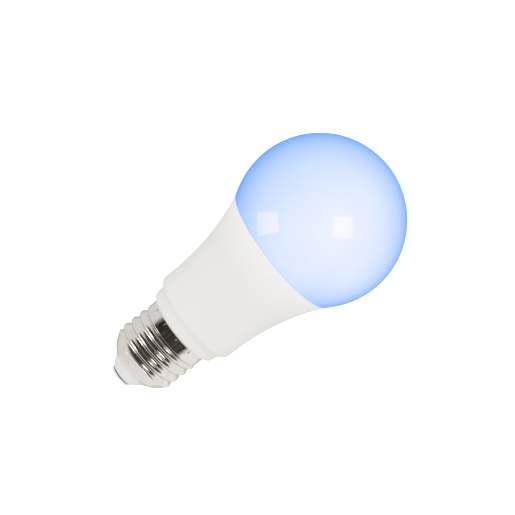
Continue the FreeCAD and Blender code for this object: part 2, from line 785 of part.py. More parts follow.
def choke_places():
    return [(CHOKE_X, CHOKE_Z - 2.0), (CHOKE_X, CHOKE_Z + 2.0)]


def can_places(can):
    return [(can["x"] - 1.25, can["z"] - 1.4), (can["x"] + 1.25, can["z"] - 1.4)]


def bobbin_places():
    offset = BOBBIN_SIZE[2] / 2 + BOBBIN_FLANGE / 2
    return [
        (TRANSFORMER_X + x, TRANSFORMER_Z + side * offset)
        for side in (-1, 1) for x in (-3.2, 0.0, 3.2)
    ]


def driver_board():
    """Green board, narrow in the neck and wide in the body, drilled for every lead."""
    centre_y = DRIVER_FRONT_Y + DRIVER_THICKNESS / 2
    neck = (DRIVER_NECK_WIDTH, DRIVER_THICKNESS, DRIVER_TOP_Z - DRIVER_BOTTOM_Z)
    body = (DRIVER_WIDTH, DRIVER_THICKNESS, DRIVER_TOP_Z - DRIVER_STEP_Z)
    board = block(0, centre_y, DRIVER_BOTTOM_Z, neck).fuse(block(0, centre_y, DRIVER_STEP_Z, body))
    places = fuse_places() + varistor_places() + film_places() + choke_places()
    places += can_places(INPUT_CAN) + can_places(OUTPUT_CAN) + bobbin_places()
    places += [LIVE_LEAD, NEUTRAL_LEAD] + radio_pin_places()
    wide = SUPPLY_WIRE_RADIUS + 0.1
    return board.removeSplitter().cut(through_holes(places, DRIVER_FRONT_Y, DRIVER_THICKNESS, wide))


def live_wire():
    """Wire from the pin in the contact up to the driver board."""
    start = Vector(0, 0, BARREL_TOP_Z + 0.8)
    corner = Vector(LIVE_LEAD[0], 0, LIVE_LEAD[1])
    end = Vector(LIVE_LEAD[0], DRIVER_BACK_Y + LEAD_TAIL, LIVE_LEAD[1])
    return bent_wire([start, corner, end], 1.3, SUPPLY_WIRE_RADIUS)


def neutral_wire():
    """Wire from the driver board under the neck to the inside of the screw shell."""
    across, up = NEUTRAL_LEAD
    shell_radius = THREAD_ROOT_RADIUS - CAP_WALL - SUPPLY_WIRE_RADIUS - CLEARANCE
    low_z = NECK_BOTTOM_Z - 1.5
    front_y = -1.6
    return bent_wire([
        Vector(across, DRIVER_BACK_Y + LEAD_TAIL, up),
        Vector(across, front_y, up),
        Vector(across, front_y, low_z),
        Vector(math.sqrt(shell_radius ** 2 - front_y ** 2), front_y, low_z),
    ], 1.5, SUPPLY_WIRE_RADIUS)


def fusible_resistor():
    """Ceramic-coated fusible resistor lying along the neck."""
    body = Part.makeCylinder(FUSE_RADIUS, FUSE_LENGTH, Vector(FUSE_X, FUSE_Y, FUSE_Z - FUSE_LENGTH / 2))
    return body.makeFillet(0.5, [edge for edge in body.Edges if edge.Closed])


def fusible_resistor_leads():
    leads = []
    for side, place in zip((-1, 1), fuse_places()):
        body_end = Vector(FUSE_X, FUSE_Y, FUSE_Z + side * FUSE_LENGTH / 2)
        corner = Vector(FUSE_X, FUSE_Y, place[1])
        tail = Vector(FUSE_X, DRIVER_BACK_Y + LEAD_TAIL, place[1])
        leads.append(bent_wire([body_end, corner, tail], 0.7, LEAD_RADIUS))
    return group(leads)


def varistor_y():
    """Centre of the varistor's disc, standing just off the board."""
    return DRIVER_FRONT_Y - 0.9 - VARISTOR_RADIUS


def varistor():
    """Blue dipped disc standing edge-on to the board."""
    centre = Vector(VARISTOR_X - VARISTOR_WIDTH / 2, varistor_y(), VARISTOR_Z)
    body = Part.makeCylinder(VARISTOR_RADIUS, VARISTOR_WIDTH, centre, Vector(1, 0, 0))
    return body.makeFillet(1.0, [edge for edge in body.Edges if edge.Closed]).cut(
        straight_leads(varistor_places(), varistor_y()))


def varistor_leads():
    return group(straight_leads(varistor_places(), varistor_y()))


def film_capacitor():
    """Yellow box capacitor across the supply."""
    body = block(0, DRIVER_FRONT_Y - STAND_OFF - FILM_SIZE[1] / 2, FILM_Z, FILM_SIZE)
    return body.makeChamfer(0.35, body.Edges)


def film_capacitor_leads():
    return group(straight_leads(film_places(), DRIVER_FRONT_Y - STAND_OFF))


def choke_core():
    """Ferrite drum of the filter choke, its axis square to the board."""
    away = Vector(0, -1, 0)
    start = Vector(CHOKE_X, DRIVER_FRONT_Y - STAND_OFF, CHOKE_Z)
    spool = Part.makeCylinder(CHOKE_RADIUS / 2, CHOKE_HEIGHT, start, away)
    near = Part.makeCylinder(CHOKE_RADIUS, CHOKE_FLANGE, start, away)
    far = Part.makeCylinder(CHOKE_RADIUS, CHOKE_FLANGE, start + away * (CHOKE_HEIGHT - CHOKE_FLANGE), away)
    return spool.fuse([near, far]).removeSplitter()


def choke_winding():
    """Enamelled copper winding, its turns shown as rounded ridges."""
    length = CHOKE_HEIGHT - 2 * CHOKE_FLANGE
    wire = length / CHOKE_TURNS
    outer = CHOKE_RADIUS - wire
    ridges = [
        Part.Arc(
            point(outer, index * wire),
            point(outer + wire / 2, (index + 0.5) * wire),
            point(outer, (index + 1) * wire),
        ).toShape()
        for index in range(CHOKE_TURNS)
    ]
    bore = rounded_path([(CHOKE_RADIUS / 2, length), (CHOKE_RADIUS / 2, 0)])
    coil = turned(ridges, bore)
    coil.rotate(Vector(0, 0, 0), Vector(1, 0, 0), 90)
    coil.translate(Vector(CHOKE_X, DRIVER_FRONT_Y - STAND_OFF - CHOKE_FLANGE, CHOKE_Z))
    return coil


def choke_leads():
    return group(straight_leads(choke_places(), DRIVER_FRONT_Y - STAND_OFF))


def can_sleeve(can):
    """Plastic sleeve of an electrolytic capacitor, rolled in above and below the can."""
    outer, length = can["radius"], can["length"]
    lip = outer - 1.0
    inner = outer - SLEEVE_WALL
    sleeve = turned_polygon([
        (lip, 0),
        (outer, 0, 0.6),
        (outer, length, 0.6),
        (lip, length),
        (lip, length - SLEEVE_WALL),
        (inner, length - SLEEVE_WALL),
        (inner, SLEEVE_WALL),
        (lip, SLEEVE_WALL),
    ])
    sleeve.translate(Vector(can["x"], can["y"], can["z"]))
    return sleeve


def can_body(can):
    """Aluminium can of an electrolytic capacitor with its scored vent."""
    radius = can["radius"] - SLEEVE_WALL - 2 * SLEEVE_GAP
    length = can["length"] - 2 * (SLEEVE_WALL + SLEEVE_GAP)
    groove, depth = 0.25, 0.15
    vents = [
        block(0, 0, length - depth, (radius, groove, depth)),
        block(0, 0, length - depth, (groove, radius, depth)),
    ]
    body = Part.makeCylinder(radius, length).cut(vents)
    body.translate(Vector(can["x"], can["y"], can["z"] + SLEEVE_WALL + SLEEVE_GAP))
    return body


def can_leads(can):
    """Two leads leaving the foot of an electrolytic capacitor and turning into the board."""
    leads = []
    for across, up in can_places(can):
        foot = Vector(across, can["y"], can["z"] + SLEEVE_WALL)
        corner = Vector(across, can["y"], up)
        tail = Vector(across, DRIVER_BACK_Y + LEAD_TAIL, up)
        leads.append(bent_wire([foot, corner, tail], 1.0, LEAD_RADIUS))
    return leads


def input_capacitor_sleeve():
    return can_sleeve(INPUT_CAN)


def input_capacitor_can():
    return can_body(INPUT_CAN)


def output_capacitor_sleeve():
    return can_sleeve(OUTPUT_CAN)


def output_capacitor_can():
    return can_body(OUTPUT_CAN)


def capacitor_leads():
    return group(can_leads(INPUT_CAN) + can_leads(OUTPUT_CAN))


def transformer_core():
    """Ferrite core: an outer frame with a centre limb through the bobbin."""
    width, depth, height = CORE_SIZE
    bottom = TRANSFORMER_Z - height / 2
    window_width = (width - 3 * CORE_LIMB) / 2
    window = (window_width, depth, height - 2 * CORE_LIMB)
    offset = (CORE_LIMB + window_width) / 2
    core = block(TRANSFORMER_X, TRANSFORMER_Y, bottom, CORE_SIZE)
    windows = [
        block(TRANSFORMER_X + side * offset, TRANSFORMER_Y, bottom + CORE_LIMB, window)
        for side in (-1, 1)
    ]
    return core.cut(windows)


def limb_hole(margin, height):
    """Room for the core's centre limb."""
    size = (CORE_LIMB + 2 * margin, CORE_SIZE[1] + 2 * margin, height)
    return block(TRANSFORMER_X, TRANSFORMER_Y, TRANSFORMER_Z - height / 2, size)


def transformer_bobbin():
    """Black bobbin: a sleeve round the centre limb between two flanges."""
    width, depth, height = BOBBIN_SIZE
    full = height - 2 * CLEARANCE
    low = TRANSFORMER_Z - full / 2
    high = TRANSFORMER_Z + full / 2 - BOBBIN_FLANGE
    size = (width, depth, BOBBIN_FLANGE)
    flanges = [block(TRANSFORMER_X, TRANSFORMER_Y, z, size) for z in (low, high)]
    bobbin = limb_hole(CLEARANCE + BOBBIN_WALL, full).fuse(flanges)
    return bobbin.removeSplitter().cut(limb_hole(CLEARANCE, full))


def transformer_winding():
    """Taped winding filling the bobbin between its flanges."""
    height = BOBBIN_SIZE[2] - 2 * CLEARANCE - 2 * BOBBIN_FLANGE
    size = (BOBBIN_SIZE[0] - 0.8, BOBBIN_SIZE[1] - 0.9, height)
    coil = block(TRANSFORMER_X, TRANSFORMER_Y, TRANSFORMER_Z - height / 2, size)
    upright = [edge for edge in coil.Edges if abs(edge.Vertexes[0].Z - edge.Vertexes[1].Z) > 1]
    return coil.makeFillet(1.0, upright).cut(limb_hole(CLEARANCE + BOBBIN_WALL, height))


# ---- parts soldered flat on the driver board's back -------------------------------------
def chip_body(chip):
    """Chip body standing just off the board's back."""
    _, thickness, height = chip["size"]
    centre_y = DRIVER_BACK_Y + CHIP_GAP + thickness / 2
    return block(chip["x"], centre_y, chip["z"] - height / 2, chip["size"])


def gull_lead(x, z, side):
    """One formed lead: out of the chip's side, down, and flat on the board."""
    thick, width = CHIP_LEAD_THICKNESS, CHIP_LEAD_WIDTH
    low_z = z - width / 2
    knee = 0.5
    foot_length = 0.8
    out_y = DRIVER_BACK_Y + 0.8
    drop = out_y - DRIVER_BACK_Y + thick / 2
    upper = block(x + side * knee / 2, out_y, low_z, (knee, thick, width))
    riser = block(x + side * (knee - thick / 2), DRIVER_BACK_Y + drop / 2, low_z, (thick, drop, width))
    foot_x = x + side * (knee - thick / 2 + foot_length / 2)
    foot = block(foot_x, DRIVER_BACK_Y + thick / 2, low_z, (foot_length, thick, width))
    return upper.fuse([riser, foot]).removeSplitter()


def chip_leads(chip):
    """Leads along both sides of a chip."""
    reach = chip["size"][0] / 2
    return [
        gull_lead(chip["x"] + side * reach, chip["z"] + z, side)
        for side in (-1, 1) for z in in_a_row(chip["leads"], chip["pitch"])
    ]


def bridge_rectifier():
    return chip_body(BRIDGE)


def driver_chips():
    return group([chip_body(DRIVER_CHIP), chip_body(LED_CHIP)])


def chip_lead_frames():
    """All formed leads of the three chips."""
    return group(chip_leads(BRIDGE) + chip_leads(DRIVER_CHIP) + chip_leads(LED_CHIP))


def flat_parts(places, size):
    """Small surface parts lying on the board's back at (across, up) places."""
    width, thickness, height = size
    return group([
        block(x, DRIVER_BACK_Y + thickness / 2, z - height / 2, (width, thickness, height))
        for x, z in places
    ])


def chip_resistors():
    """Rows of small resistors beside the chips."""
    places = [(-11.6, z) for z in (39.5, 42.5, 45.5, 48.5)] + [(-1.4, z) for z in (40.0, 43.0, 46.0)]
    return flat_parts(places, (1.6, 0.5, 0.8))


def chip_capacitors():
    """Ceramic capacitors beside the LED driver chip."""
    places = [(11.0, z) for z in (42.0, 45.0, 48.0, 51.0)] + [(0.0, 33.0)]
    return flat_parts(places, (2.0, 1.2, 1.25))


PIECES = (
    centre_contact, contact_pin, cap_insulator, screw_shell,
    housing_shell, diffuser_globe, diffuser_seal,
    heat_sink_cup, spreader_plate, thermal_pad, led_board,
    led_white, led_white_phosphor, led_colour, led_colour_window,
    led_board_screws, led_header_block, led_header_pins, led_socket,
    radio_board, shield_can, radio_chip, antenna_trace, radio_spacer, radio_pins,
    driver_board, live_wire, neutral_wire,
    fusible_resistor, fusible_resistor_leads, varistor, varistor_leads,
    film_capacitor, film_capacitor_leads, choke_core, choke_winding, choke_leads,
    input_capacitor_sleeve, input_capacitor_can, output_capacitor_sleeve, output_capacitor_can,
    capacitor_leads, transformer_core, transformer_bobbin, transformer_winding,
    bridge_rectifier, driver_chips, chip_lead_frames, chip_resistors, chip_capacitors,
)

os.makedirs("parts", exist_ok=True)
for make_piece in PIECES:
    make_piece().exportStep("parts/" + make_piece.__name__ + ".step")
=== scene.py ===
"""Connected colour light bulb with an E27 cap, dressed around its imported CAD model.

Metres, in the CAD frame: the origin is the middle of the centre contact, +Z runs up the lamp's
axis and -Y is the side the camera looks at.
"""

import json
import math

import bpy
from mathutils import Matrix, Vector


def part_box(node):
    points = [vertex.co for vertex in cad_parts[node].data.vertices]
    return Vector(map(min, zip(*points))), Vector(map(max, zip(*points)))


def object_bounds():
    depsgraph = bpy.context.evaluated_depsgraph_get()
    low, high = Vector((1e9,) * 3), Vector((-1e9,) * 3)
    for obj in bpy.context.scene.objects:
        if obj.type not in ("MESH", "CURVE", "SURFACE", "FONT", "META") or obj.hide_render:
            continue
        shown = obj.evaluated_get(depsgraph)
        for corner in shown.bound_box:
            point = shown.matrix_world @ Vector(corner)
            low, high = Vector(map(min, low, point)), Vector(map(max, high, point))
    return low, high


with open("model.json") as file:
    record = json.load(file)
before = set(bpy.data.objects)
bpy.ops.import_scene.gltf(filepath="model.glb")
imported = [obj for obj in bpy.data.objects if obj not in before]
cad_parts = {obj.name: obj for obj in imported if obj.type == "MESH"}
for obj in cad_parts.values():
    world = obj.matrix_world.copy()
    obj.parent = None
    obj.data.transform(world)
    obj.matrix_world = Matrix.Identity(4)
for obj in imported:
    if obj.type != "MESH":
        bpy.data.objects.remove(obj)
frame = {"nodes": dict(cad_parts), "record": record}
cad_low, cad_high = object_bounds()

MM = 0.001

# Where the camera stands: the lamp's axis leans towards it and crosses the picture diagonally.
AXIS_LEAN = math.radians(12.7)
AXIS_RISE = math.radians(38.0)
CAMERA_DISTANCE = 2.35
SENSOR_WIDTH = 36.0                     # millimetres, as a camera states it
PICTURE_WIDTH = 0.1766                  # width of the view at the lamp
LOOK_HEIGHT = 61.2 * MM                 # point of the axis near the middle of the picture
LOOK_DROP = 3.9 * MM                    # how far below the middle that point falls

# Softboxes, as directions in the camera's frame (right, up, towards the camera).
KEY_DIRECTION = (0.4905, -0.1628, 0.8559)
SIDE_DIRECTION = (-0.9556, -0.0458, 0.2910)
SOFTBOX_DISTANCE = 1.0
KEY_SIZE = (0.47, 0.47)
SIDE_SIZE = (0.60, 0.40)

# The globe takes most of the red out of a reflection, so its softboxes are warm and strong, and a
# dimmer white pair in the same places stands for them on everything else.
KEY_ON_GLOBE = (5.7, 3.0, 2.4)
SIDE_ON_GLOBE = (10.0, 4.2, 3.2)
SOFTBOX_ELSEWHERE = (2.5, 2.36, 2.1)

STUDIO_WHITE = (1.0, 0.998, 0.99)
AMBIENT = 0.90                          # strength of the studio's light, from every side
FRONT_FILL = 0.24                       # how much it gains towards the camera, and loses behind
BACKDROP = (1, 1, 1)                    # what the camera sees beyond the lamp and the floor

# What polished metal sees round it, by the angle in degrees from the camera's direction.
ROOM_EDGE = 68.0                        # the unlit room behind the camera ends here
ROOM_EDGE_BLUR = 8.0                    # half the width of that soft edge
ROOM_DARK = (0.025, 0.024, 0.02)
ROOM_LIGHT = (0.11, 0.10, 0.088)
ROOM_MOTTLE = 9.0                       # noise scale of its dark and light patches
ROOM_MOTTLE_SPAN = (0.42, 0.66)         # part of the noise over which dark turns to light
ROOM_EDGE_COLOUR = (0.42, 0.36, 0.28)
LIT_WALL = (1, 1, 0.99)                 # between the unlit room and the backdrop
BACKDROP_EDGE = 138.0                   # beyond this the backdrop behind the lamp dims
BACKDROP_FAR = (0.5, 0.5, 0.47)
SIDE_LEVELS = (0.84, 1.04)              # strength of all that, from the lamp's left to its right

FLOOR_REACH = 40.0                      # half the floor's width, past any view's horizon
FLOOR_GAP = 0.5 * MM
FLOOR_GLOW = 0.6

# Colour of the globe's glow at places from its left side, 0, to its right side, 1. Its rise towards the
# right is painted light, from the side the key softbox is on.
GLOW_AND_PAINTED_SIDE_LIGHT = (
    (0.0, (0.153, 0.183, 1.0)),
    (0.5, (0.412, 0.321, 1.0)),
    (0.8, (0.472, 0.348, 1.0)),
    (1.0, (0.727, 0.496, 1.0)),
)
GLOW_UNEVENNESS = 0.06
GLOBE_GLOSS = 0.036                     # share of the light that it mirrors
GLOBE_TINT = (0.775, 0.872, 0.995)      # what its clear layer lets through, seen square on
GLOBE_HAZE = (0.02, 0.35, 1.0)

# Painted light: a glow on the top of the housing's wall, strongest at the seam.
PAINTED_GLOW_LENGTH = 13 * MM
PAINTED_GLOW_COLOUR = (0.075, 0.08, 0.10)

NOISE_SPAN = (0.3, 0.7)                 # range that a noise seldom leaves

# General finish: its noises are this much broader and finer than the grain, and its gloss varies
# by this share.
BROAD_SCALE = 4
FINE_SCALE = 3
GLOSS_SPREAD = 0.2

WEAVE_SCALE = 700                       # wave texture's scale for threads about 0.45 mm apart
WEAVE_SHADE = 0.85                      # colour between the threads, next to that on them


# ---- material building ------------------------------------------------------------------
def new_surface(name):
    """A material with a Principled shader, and its node tree's builders."""
    material = bpy.data.materials.new(name)
    material.use_nodes = True
    nodes = material.node_tree.nodes
    return material, nodes, material.node_tree.links, nodes["Principled BSDF"]


def object_noise(nodes, links, grain, detail=3.0, stretch=(1, 1, 1)):
    """Noise in the lamp's own space; grain is its size in metres."""
    place = nodes.new("ShaderNodeTexCoord")
    mapping = nodes.new("ShaderNodeMapping")
    mapping.inputs["Scale"].default_value = stretch
    noise = nodes.new("ShaderNodeTexNoise")
    noise.inputs["Scale"].default_value = 1 / grain
    noise.inputs["Detail"].default_value = detail
    links.new(place.outputs["Object"], mapping.inputs["Vector"])
    links.new(mapping.outputs["Vector"], noise.inputs["Vector"])
    return noise.outputs["Fac"]


def colour_ramp(nodes, links, factor, stops):
    """Colour that runs through the stops: places on the factor's scale, in order, and colours."""
    ramp = nodes.new("ShaderNodeValToRGB")
    elements = ramp.color_ramp.elements
    elements.remove(elements[1])
    first_place, first_colour = stops[0]
    elements[0].position = first_place
    elements[0].color = (*first_colour, 1)
    for place, colour in stops[1:]:
        elements.new(place).color = (*colour, 1)
    links.new(factor, ramp.inputs["Fac"])
    return ramp.outputs["Color"]


def blend_colours(nodes, links, factor, low, high, span=NOISE_SPAN):
    """Colour that runs from low to high as the factor crosses the span."""
    return colour_ramp(nodes, links, factor, ((span[0], low), (span[1], high)))


def remap(nodes, links, value, start, end, low=0.0, high=1.0):
    """Number that runs from low to high as the value runs from start to end."""
    reach = nodes.new("ShaderNodeMapRange")
    reach.inputs["From Min"].default_value = start
    reach.inputs["From Max"].default_value = end
    reach.inputs["To Min"].default_value = low
    reach.inputs["To Max"].default_value = high
    links.new(value, reach.inputs["Value"])
    return reach.outputs["Result"]


def along_axis(nodes, links, axis, low, high):
    """Number that runs from 0 to 1 between two places on one axis of the lamp."""
    place = nodes.new("ShaderNodeTexCoord")
    split = nodes.new("ShaderNodeSeparateXYZ")
    links.new(place.outputs["Object"], split.inputs["Vector"])
    return remap(nodes, links, split.outputs[axis], low, high)


def add_bump(nodes, links, shader, factor, height, strength=0.5):
    """Relief that follows the factor, laid over any relief the shader already has."""
    bump = nodes.new("ShaderNodeBump")
    bump.inputs["Distance"].default_value = height
    bump.inputs["Strength"].default_value = strength
    links.new(factor, bump.inputs["Height"])
    for beneath in shader.inputs["Normal"].links:
        links.new(beneath.from_socket, bump.inputs["Normal"])
    links.new(bump.outputs["Normal"], shader.inputs["Normal"])


def paint(nodes, links, shader, factor, low, high, span=NOISE_SPAN):
    """Let the base colour run from low to high with the factor."""
    links.new(blend_colours(nodes, links, factor, low, high, span), shader.inputs["Base Color"])


def vary_gloss(nodes, links, shader, factor, low, high):
    """Let the roughness run from low to high with the factor."""
    links.new(remap(nodes, links, factor, 0.0, 1.0, low, high), shader.inputs["Roughness"])


def scaled(colour, factor):
    return tuple(channel * factor for channel in colour)


def surface(name, colour, rough, grain, mottle, relief, metallic=0.0, coat=0.0):
    """General finish: mottled colour, uneven gloss and a fine relief. Grain and relief in mm."""
    material, nodes, links, shader = new_surface(name)
    shader.inputs["Metallic"].default_value = metallic
    shader.inputs["Coat Weight"].default_value = coat
    broad = object_noise(nodes, links, grain * MM * BROAD_SCALE)
    paint(nodes, links, shader, broad, scaled(colour, 1 - mottle), scaled(colour, 1 + mottle / 2))
    fine = object_noise(nodes, links, grain * MM / FINE_SCALE, detail=5.0)
    vary_gloss(nodes, links, shader, fine, rough * (1 - GLOSS_SPREAD), rough * (1 + GLOSS_SPREAD))
    add_bump(nodes, links, shader, fine, relief * MM)
    return material


# ---- finishes of the visible pieces -----------------------------------------------------
def globe_finish(name):
    """Milky polycarbonate lit from inside.

    The limb is a deeper blue than the middle. Light that leaves the globe at a slant crosses more
    of its tinted clear layer, and meets more of the blue haze in its skin, which is the sheen. The
    gloss is a small metallic share, because an ordinary gloss would whiten the limb.
    """
    material, nodes, links, shader = new_surface(name)
    shader.inputs["Metallic"].default_value = GLOBE_GLOSS
    shader.inputs["Specular IOR Level"].default_value = 0.0
    shader.inputs["Specular Tint"].default_value = (0, 0, 0, 1)
    shader.inputs["Coat Weight"].default_value = 1.0
    shader.inputs["Coat IOR"].default_value = 1.05
    shader.inputs["Coat Tint"].default_value = (*GLOBE_TINT, 1)
    shader.inputs["Sheen Weight"].default_value = 1.0
    shader.inputs["Sheen Roughness"].default_value = 0.6
    shader.inputs["Sheen Tint"].default_value = (*GLOBE_HAZE, 1)
    shader.inputs["Emission Strength"].default_value = 1.0
    cloud = object_noise(nodes, links, 14 * MM, detail=2.0)
    paint(nodes, links, shader, cloud, (0.711, 0.729, 0.748), (0.734, 0.754, 0.779))
    links.new(glow_with_painted_side_light(nodes, links, cloud), shader.inputs["Emission Color"])
    fine = object_noise(nodes, links, 0.5 * MM, detail=4.0)
    vary_gloss(nodes, links, shader, fine, 0.07, 0.11)
    add_bump(nodes, links, shader, fine, 0.002 * MM, strength=0.3)
    return material


def glow_with_painted_side_light(nodes, links, cloud):
    """The globe's glow, with painted shade that makes it weaker and bluer towards -X, and slightly uneven.
    """
    # Painted light: the glow brightens from the globe's left side to its right.
    level = along_axis(nodes, links, "X", cad_low.x, cad_high.x)
    uneven = nodes.new("ShaderNodeMix")
    uneven.data_type = "RGBA"
    uneven.blend_type = "MULTIPLY"
    uneven.inputs["Factor"].default_value = GLOW_UNEVENNESS
    links.new(colour_ramp(nodes, links, level, GLOW_AND_PAINTED_SIDE_LIGHT), uneven.inputs["A"])
    links.new(cloud, uneven.inputs["B"])
    return uneven.outputs["Result"]


def housing_finish(name):
    """Warm white moulded plastic with a very fine satin grain, and painted light that brightens it near the
    seam.
    """
    material, nodes, links, shader = new_surface(name)
    shader.inputs["Emission Strength"].default_value = 1.0
    seam_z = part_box("housing_shell")[1].z
    # Painted light: the wall glows more towards the seam.
    painted_glow_reach = along_axis(nodes, links, "Z", seam_z - PAINTED_GLOW_LENGTH, seam_z)
    painted_glow = blend_colours(nodes, links, painted_glow_reach, (0, 0, 0), PAINTED_GLOW_COLOUR, span=(0, 1))
    links.new(painted_glow, shader.inputs["Emission Color"])
    broad = object_noise(nodes, links, 18 * MM, detail=2.0)
    paint(nodes, links, shader, broad, (0.835, 0.822, 0.795), (0.85, 0.838, 0.812))
    fine = object_noise(nodes, links, 0.16 * MM, detail=4.0)
    vary_gloss(nodes, links, shader, fine, 0.42, 0.54)
    add_bump(nodes, links, shader, fine, 0.006 * MM, strength=0.35)
    return material


def cap_finish(name):
    """Nickel plate on thin rolled brass: bright, with shallow dents, faint lines and dull patches."""
    material, nodes, links, shader = new_surface(name)
    shader.inputs["Metallic"].default_value = 1.0
    patches = object_noise(nodes, links, 3.5 * MM, detail=5.0)
    paint(nodes, links, shader, patches, (0.70, 0.66, 0.635), (0.78, 0.745, 0.715))
    vary_gloss(nodes, links, shader, patches, 0.04, 0.18)
    dents = object_noise(nodes, links, 4.0 * MM, detail=2.0)
    add_bump(nodes, links, shader, dents, 0.25 * MM)
    lines = object_noise(nodes, links, 0.8 * MM, detail=5.0, stretch=(0.6, 0.6, 3))
    add_bump(nodes, links, shader, lines, 0.008 * MM, strength=0.4)
    return material


def insulator_finish(name):
    """Smooth white moulding, a little cooler than the housing."""
    material, nodes, links, shader = new_surface(name)
    shader.inputs["Subsurface Weight"].default_value = 0.2
    shader.inputs["Subsurface Radius"].default_value = (1.2 * MM, 1.2 * MM, 1.3 * MM)
    broad = object_noise(nodes, links, 6 * MM, detail=2.0)
    paint(nodes, links, shader, broad, (0.845, 0.835, 0.84), (0.88, 0.87, 0.875))
    fine = object_noise(nodes, links, 0.3 * MM, detail=4.0)
    vary_gloss(nodes, links, shader, fine, 0.22, 0.34)
    add_bump(nodes, links, shader, fine, 0.004 * MM, strength=0.3)
    return material


def contact_finish(name):
    """Tinned button, dulled in patches by lampholder springs. Its dark grey, darker than bare tin, is
    partly painted shade for the gap beside the insulator.
    """
    material, nodes, links, shader = new_surface(name)
    shader.inputs["Metallic"].default_value = 1.0
    patches = object_noise(nodes, links, 1.4 * MM, detail=5.0)
    # Painted shade: darker than bare tin, for the gap beside the insulator.
    paint(nodes, links, shader, patches, (0.14, 0.13, 0.12), (0.34, 0.32, 0.29))
    vary_gloss(nodes, links, shader, patches, 0.22, 0.45)
    add_bump(nodes, links, shader, patches, 0.02 * MM, strength=0.4)
    return material


# ---- finishes of the sealed pieces ------------------------------------------------------
def glass_epoxy(name, colour):
    """Solder mask over a woven board: the weave shows as a fine cross grid."""
    material, nodes, links, shader = new_surface(name)
    place = nodes.new("ShaderNodeTexCoord")
    weave = nodes.new("ShaderNodeMath")
    weave.operation = "MULTIPLY"
    for side, direction in enumerate(("X", "Z")):
        wave = nodes.new("ShaderNodeTexWave")
        wave.bands_direction = direction
        wave.inputs["Scale"].default_value = WEAVE_SCALE
        links.new(place.outputs["Object"], wave.inputs["Vector"])
        links.new(wave.outputs["Fac"], weave.inputs[side])
    grid = weave.outputs["Value"]
    paint(nodes, links, shader, grid, scaled(colour, WEAVE_SHADE), colour, span=(0, 1))
    vary_gloss(nodes, links, shader, grid, 0.3, 0.38)
    add_bump(nodes, links, shader, grid, 0.01 * MM, strength=0.3)
    return material


def phosphor_finish(name):
    """Yellow phosphor grains in clear silicone."""
    material, nodes, links, shader = new_surface(name)
    shader.inputs["Coat Weight"].default_value = 0.6
    grains = object_noise(nodes, links, 0.12 * MM, detail=5.0)
    paint(nodes, links, shader, grains, (0.80, 0.58, 0.10), (0.96, 0.80, 0.26))
    vary_gloss(nodes, links, shader, grains, 0.35, 0.5)
    add_bump(nodes, links, shader, grains, 0.01 * MM)
    return material


def lit_window_finish(name):
    """Clear resin over a lit blue chip."""
    material, nodes, links, shader = new_surface(name)
    shader.inputs["Coat Weight"].default_value = 0.8
    shader.inputs["Emission Strength"].default_value = 2.0
    grains = object_noise(nodes, links, 0.8 * MM, detail=2.0)
    shade = blend_colours(nodes, links, grains, (0.12, 0.28, 0.95), (0.35, 0.55, 1.0))
    links.new(shade, shader.inputs["Base Color"])
    links.new(shade, shader.inputs["Emission Color"])
    vary_gloss(nodes, links, shader, grains, 0.12, 0.2)
    return material


FINISHES = {
    "globe_milk": globe_finish,
    "housing_white": housing_finish,
    "cap_metal": cap_finish,
    "insulator_white": insulator_finish,
    "contact_metal": contact_finish,
    "phosphor": phosphor_finish,
    "led_window_blue": lit_window_finish,
}

BOARD_COLOURS = {
    "board_green": (0.02, 0.16, 0.06),
    "board_black": (0.012, 0.014, 0.02),
}

# Settings of the general finish for the plainer slots.
METALS = {
    "bare_aluminium": dict(colour=(0.80, 0.81, 0.82), rough=0.34, grain=1.2, mottle=0.08, relief=0.01),
    "can_aluminium": dict(colour=(0.85, 0.85, 0.86), rough=0.22, grain=0.8, mottle=0.05, relief=0.005),
    "screw_steel": dict(colour=(0.62, 0.62, 0.63), rough=0.30, grain=0.6, mottle=0.12, relief=0.01),
    "pin_gold": dict(colour=(0.80, 0.58, 0.22), rough=0.22, grain=0.5, mottle=0.08, relief=0.003),
    "tin_plate": dict(colour=(0.68, 0.68, 0.67), rough=0.26, grain=0.8, mottle=0.1, relief=0.005),
    "copper_track": dict(colour=(0.72, 0.36, 0.20), rough=0.32, grain=0.5, mottle=0.15, relief=0.004),
    "tinned_lead": dict(colour=(0.66, 0.66, 0.65), rough=0.28, grain=0.4, mottle=0.1, relief=0.004),
    "enamelled_copper": dict(
        colour=(0.62, 0.26, 0.12), rough=0.28, grain=0.4, mottle=0.2, relief=0.01, coat=0.7
    ),
}

